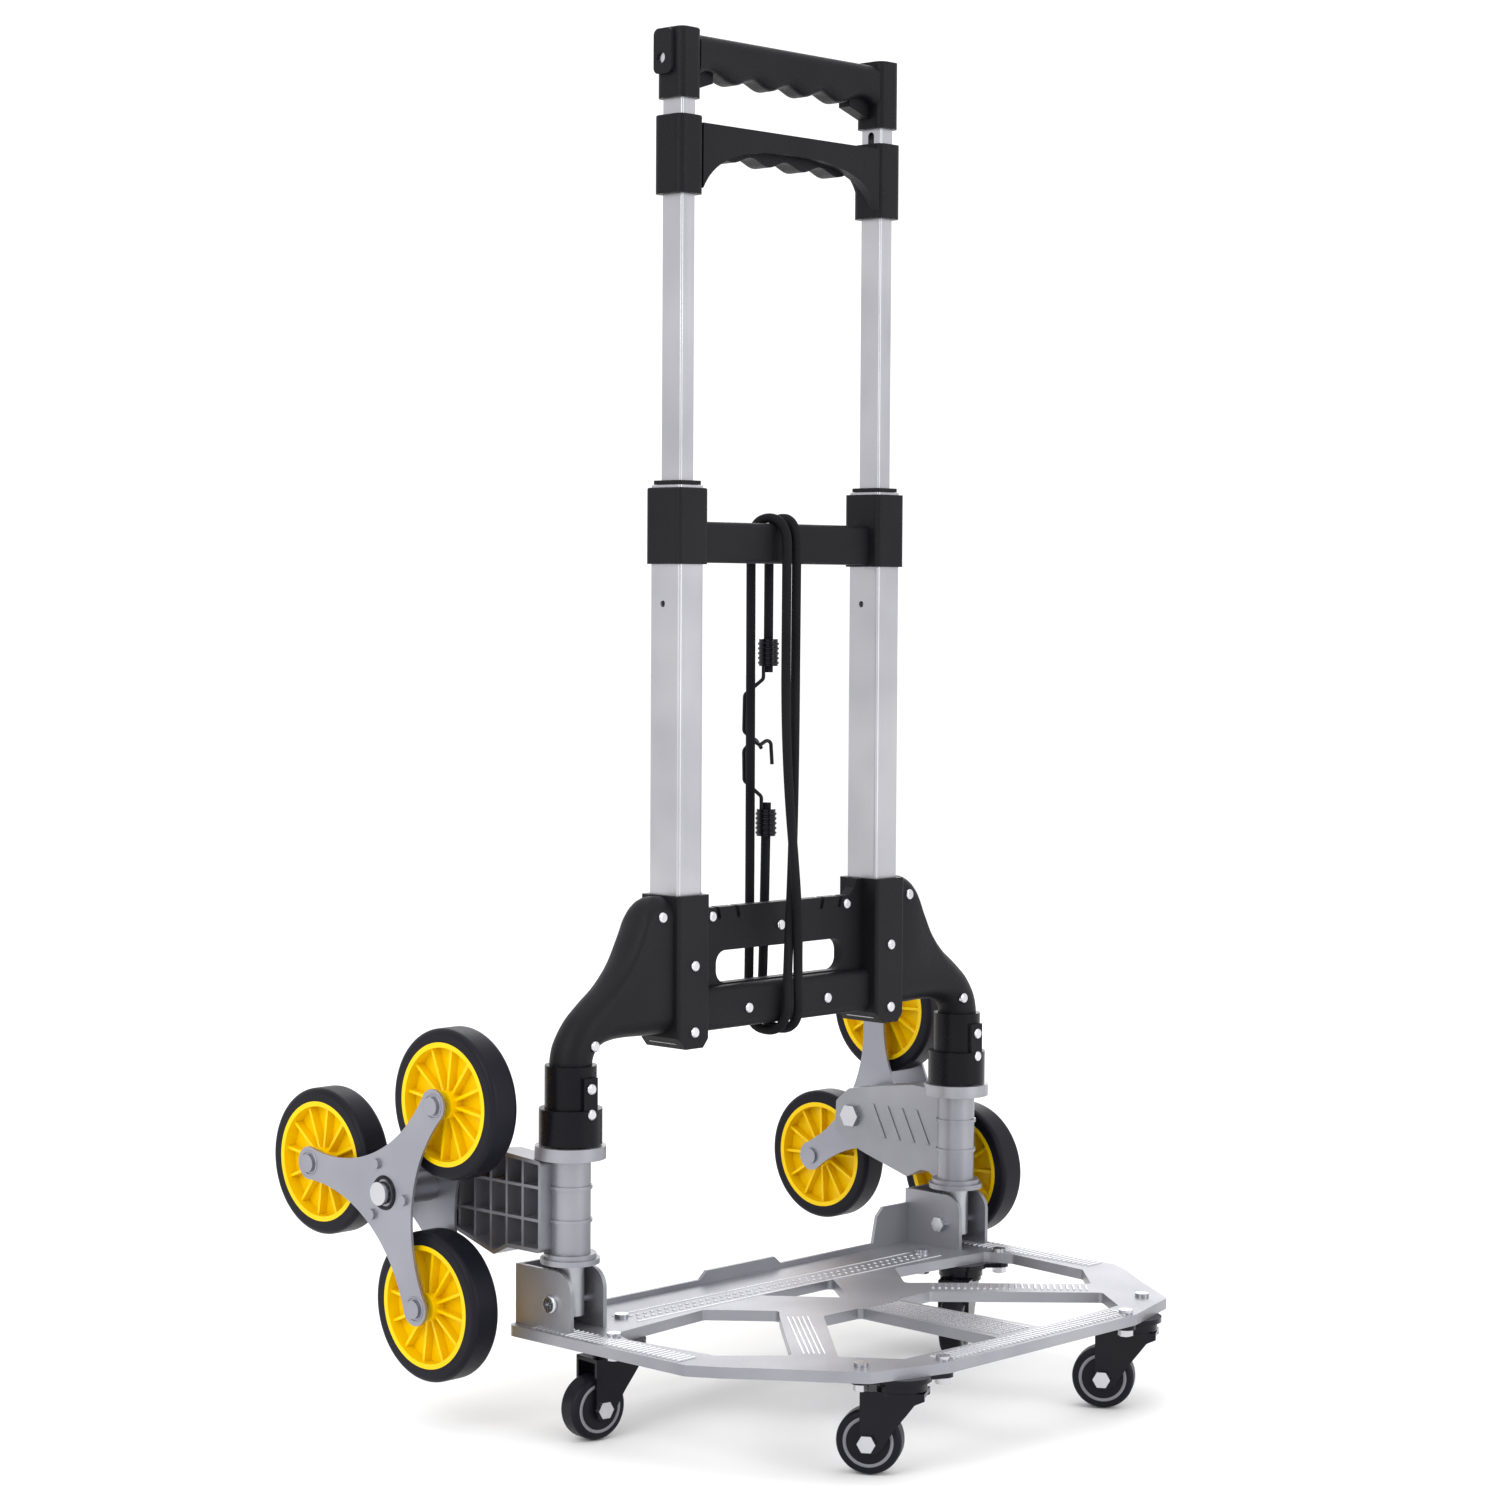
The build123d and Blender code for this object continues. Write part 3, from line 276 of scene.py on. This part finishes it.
def ridge(mesh, start, end, width, height, base):
    """Raised bar with sloped sides between two plan points, all in mm."""
    start, end = Vector((*start, 0)), Vector((*end, 0))
    along = (end - start).normalized()
    across = Vector((-along.y, along.x, 0)) * width / 2
    up = Vector((0, 0, 1))
    low = [start - across, end - across, end + across, start + across]
    inset = [along * 0.3, -along * 0.3, -along * 0.3, along * 0.3]
    lean = [across * 0.35, across * 0.35, -across * 0.35, -across * 0.35]
    bottom = [mesh.verts.new((p + up * base) * MM + Vector((0, FRAME_Y, 0))) for p in low]
    top = [mesh.verts.new((p + i + k + up * (base + height)) * MM + Vector((0, FRAME_Y, 0)))
           for p, i, k in zip(low, inset, lean)]
    mesh.faces.new(bottom[::-1])
    mesh.faces.new(top)
    for k in range(4):
        n = (k + 1) % 4
        mesh.faces.new((bottom[k], bottom[n], top[n], top[k]))


def steps(first, last, pitch):
    """Even places from first to last."""
    count = int((last - first) / pitch)
    return [first + pitch * k for k in range(count + 1)]


# just under the platform's top face, and a dot's (radius, height) section, in mm
DECK = 63.45
DOT = [(0.05, 0), (1.4, 0), (1.2, 0.45), (0.7, 0.7), (0.05, 0.75)]

# the deck ridges, lines and dots below get the brighter ridge material, a painted highlight on the raised tops
ladder = bmesh.new()
for name, s in SIDES:
    for y in steps(-108, 12, 4.0):
        ridge(ladder, (s * 181, y), (s * 196, y), 1.7, 0.8, DECK)
for x in steps(-84, 84, 4.0):
    ridge(ladder, (x, -215), (x, -201), 1.7, 0.8, DECK)
for k in steps(0, 96, 4.0):
    middle = Vector((60, -75)) + Vector((71, -80)).normalized() * (4 + k)
    cross = Vector((80, 71)).normalized() * 6.5
    ridge(ladder, middle - cross, middle + cross, 1.7, 0.8, DECK)
piece("deck_ladder", ladder, EMBOSSED, "platform", smooth=False)

lines = bmesh.new()
for x in steps(-13, 13, 3.7):
    ridge(lines, (x, -195), (x, -92), 1.5, 0.6, DECK)
along_strut = Vector((-71, -80)).normalized()
for shift in steps(-6, 6, 3.0):
    beside = Vector((-80, 71)).normalized() * shift
    ridge(lines, Vector((-63, -78)) + beside, Vector((-63, -78)) + along_strut * 98 + beside, 1.3, 0.6, DECK)
for y in (-19.0, 2.0):
    ridge(lines, (-140, y), (140, y), 1.0, 0.5, DECK)
piece("deck_lines", lines, EMBOSSED, "platform", smooth=False)

dots = bmesh.new()
for y in (-12.5, -5.5):
    for x in steps(-132, 132, 6.0):
        lathe(dots, DOT, (x * MM, y * MM + FRAME_Y, DECK * MM), (0, 0, 1), 12)
piece("deck_dots", dots, EMBOSSED, "platform")

CASTERS = {
    "front_left": ((-108.3, -200.5), 58.8), "front_right": ((108.3, -200.5), 58.8),
    "rear_left": ((-158.0, -21.0), 8.0), "rear_right": ((158.0, -21.0), -28.0),
}
for name in CASTER_NAMES:
    low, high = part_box(f"caster_wheel_{name}")
    centre = (low + high) / 2
    (x, y), bearing = CASTERS[name]
    out = Vector((centre.x - x * MM, centre.y - FRAME_Y - y * MM, 0)).normalized()
    axle = Vector((-out.y, out.x, 0))
    rings = bmesh.new()
    for side in (-1, 1):
        lathe(rings, [(12.6, 6.9), (12.8, 7.55), (14.5, 7.55), (14.8, 6.9)], centre, axle * side)
    piece(f"caster_rings_{name}", rings, RING, f"roller_{name}")

# cluster axle (depth, height) and pitch radius in mm, outer star plate's face in metres, turn of the first lobe
AXLE = (95.0, 139.0)
PITCH_RADIUS = 71.5
PLATE_FACE = 0.2398
STAR_TURN = {"left": 7.4, "right": -32.3}
for name, s in SIDES:
    embossed = bmesh.new()
    hub_mid = Vector((0, AXLE[0] * MM + FRAME_Y, AXLE[1] * MM))
    for lobe in range(3):
        angle = math.radians(STAR_TURN[name] + 120 * lobe)
        reach = PITCH_RADIUS * MM
        spot = hub_mid + Vector((s * PLATE_FACE, reach * math.cos(angle), reach * math.sin(angle)))
        lathe(embossed, [(6.4, -0.2), (6.7, 0.5), (7.5, 0.5), (7.9, -0.2)], spot, (s, 0, 0))
    piece(f"lobe_rings_{name}", embossed, SHEET, f"cluster_{name}")
    # black ring laid on the star plate round the centre bolt: painted shade standing in for the dark recess
    # round the bolt
    recess_shade = bmesh.new()
    middle = hub_mid + Vector((s * PLATE_FACE, 0, 0))
    lathe(recess_shade, [(8.0, -0.2), (8.3, 0.7), (10.2, 0.7), (10.6, -0.2)], middle, (s, 0, 0))
    piece(f"painted_recess_shade_{name}", recess_shade, LACQUER, f"cluster_{name}")

# arm outline at each station from the rail socket down to the post: (x, z) of its outer and of its inner edge
ARM_STATIONS = [
    ((102, 314.5), (102, 231)), ((115, 314.5), (112, 231)), ((123, 309), (122, 231.2)),
    ((129, 297), (131, 231.5)),
    ((138, 281), (140, 231.5)), ((151, 267), (148, 231)), ((166, 256), (155, 229.5)), ((178, 246), (160, 227)),
    ((186.5, 234), (163, 223.5)), ((189.6, 224), (164.2, 220)), ((189.8, 217), (164.2, 217)),
]


def eased(before, start, end, after, part):
    """Smooth curve from start to end, also led by the neighbours."""
    return ((2 * start) + (end - before) * part + (2 * before - 5 * start + 4 * end - after) * part ** 2
            + (3 * start - before - 3 * end + after) * part ** 3) / 2


ARM_HALF = 12.4
SPAN_STEPS = 6


def side_arm(name, s):
    """Moulded arm lofted through slot-shaped sections."""
    mesh = bmesh.new()
    edges = [[Vector(station[k]) for station in ARM_STATIONS] for k in (0, 1)]
    loops = []
    last = len(ARM_STATIONS) - 1
    for span in range(last):
        for sub in range(SPAN_STEPS + (span == last - 1)):
            part = sub / SPAN_STEPS
            before, after = max(span - 1, 0), min(span + 2, last)
            outer, inner = (eased(line[before], line[span], line[span + 1], line[after], part) for line in edges)
            up = (outer - inner).normalized()
            top, low = outer - up * ARM_HALF, inner + up * ARM_HALF
            ring = []
            for k in range(26):
                angle = math.pi * k / 12.5 if k < 13 else math.pi * (k - 0.5) / 12.5
                heart = top if k < 13 else low
                x, z = heart + up * (ARM_HALF * math.sin(angle))
                ring.append(mesh.verts.new((s * x * MM, ARM_HALF * math.cos(angle) * MM + FRAME_Y, z * MM)))
            loops.append(ring)
    for here, there in zip(loops, loops[1:]):
        for k in range(26):
            n = (k + 1) % 26
            mesh.faces.new((here[k], here[n], there[n], there[k]))
    mesh.faces.new(loops[0])
    mesh.faces.new(loops[-1])
    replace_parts(piece(f"arm_{name}", mesh, BLACK, "frame"), f"side_arm_{name}")


for name, s in SIDES:
    side_arm(name, s)
    grooves = bmesh.new()
    for k in range(4):
        base_y, base_z = 24 + k * 13, 126.0
        outline = [(base_y, base_z), (base_y + 3, base_z), (base_y + 15, base_z + 24),
                   (base_y + 12, base_z + 24)]
        low = [grooves.verts.new((s * 179.2 * MM, y * MM + FRAME_Y, z * MM)) for y, z in outline]
        middle = sum((Vector((y, z)) for y, z in outline), Vector((0, 0))) / 4
        lift = [middle + (Vector((y, z)) - middle) * 0.88 for y, z in outline]
        high = [grooves.verts.new((s * 178.3 * MM, y * MM + FRAME_Y, z * MM)) for y, z in lift]
        grooves.faces.new(high)
        grooves.faces.new(low)
        for m in range(4):
            grooves.faces.new((low[m], low[(m + 1) % 4], high[(m + 1) % 4], high[m]))
    piece(f"arm_relief_{name}", grooves, CAST, f"wheel_arm_{name}", smooth=False)

for number, (low, x) in enumerate(((452.5, 6.1), (345.5, 4.8))):
    coil = bmesh.new()
    for turn_z in steps(low + 1.5, low + 14.5, 3.0):
        section = [(5.7 + 1.1 * math.cos(a), 1.1 * math.sin(a)) for a in [math.pi * k / 4 for k in range(8)]]
        lathe(coil, section, (x * MM, 14 * MM + FRAME_Y, turn_z * MM), (0, 0, 1), 40)
    piece(f"wire_coil_{number + 1}", coil, LACQUER, "frame")

for part_name, width in (("cluster_plates_left", 0.5), ("cluster_plates_right", 0.5), ("platform", 0.5),
                         ("post_collars", 0.7), ("caster_plates", 0.4), ("wheel_arm_left", 0.4),
                         ("wheel_arm_right", 0.4), ("mid_crossbar", 0.5), ("centre_bracket", 0.9),
                         ("upper_handle", 1.6), ("lower_handle", 1.4)):
    rounding = NODES[part_name].modifiers.new("edges", "BEVEL")
    rounding.width = width * MM
    rounding.segments = 3
    rounding.limit_method = "ANGLE"
    rounding.angle_limit = math.radians(50)

# ------------------------------------------------------------------ floor

floor_mesh = bmesh.new()
bmesh.ops.create_grid(floor_mesh, x_segments=2, y_segments=2, size=60.0)
floor_data = bpy.data.meshes.new("floor")
floor_mesh.to_mesh(floor_data)
floor = bpy.data.objects.new("floor", floor_data)
floor.location = (0, 0, CAD_BOX[0][2] - 0.0005)
floor_data.materials.append(grained("pale_floor", (0.90, 0.90, 0.90), (0.92, 0.92, 0.92), 0.8, 200, 0.00002))
bpy.context.scene.collection.objects.link(floor)
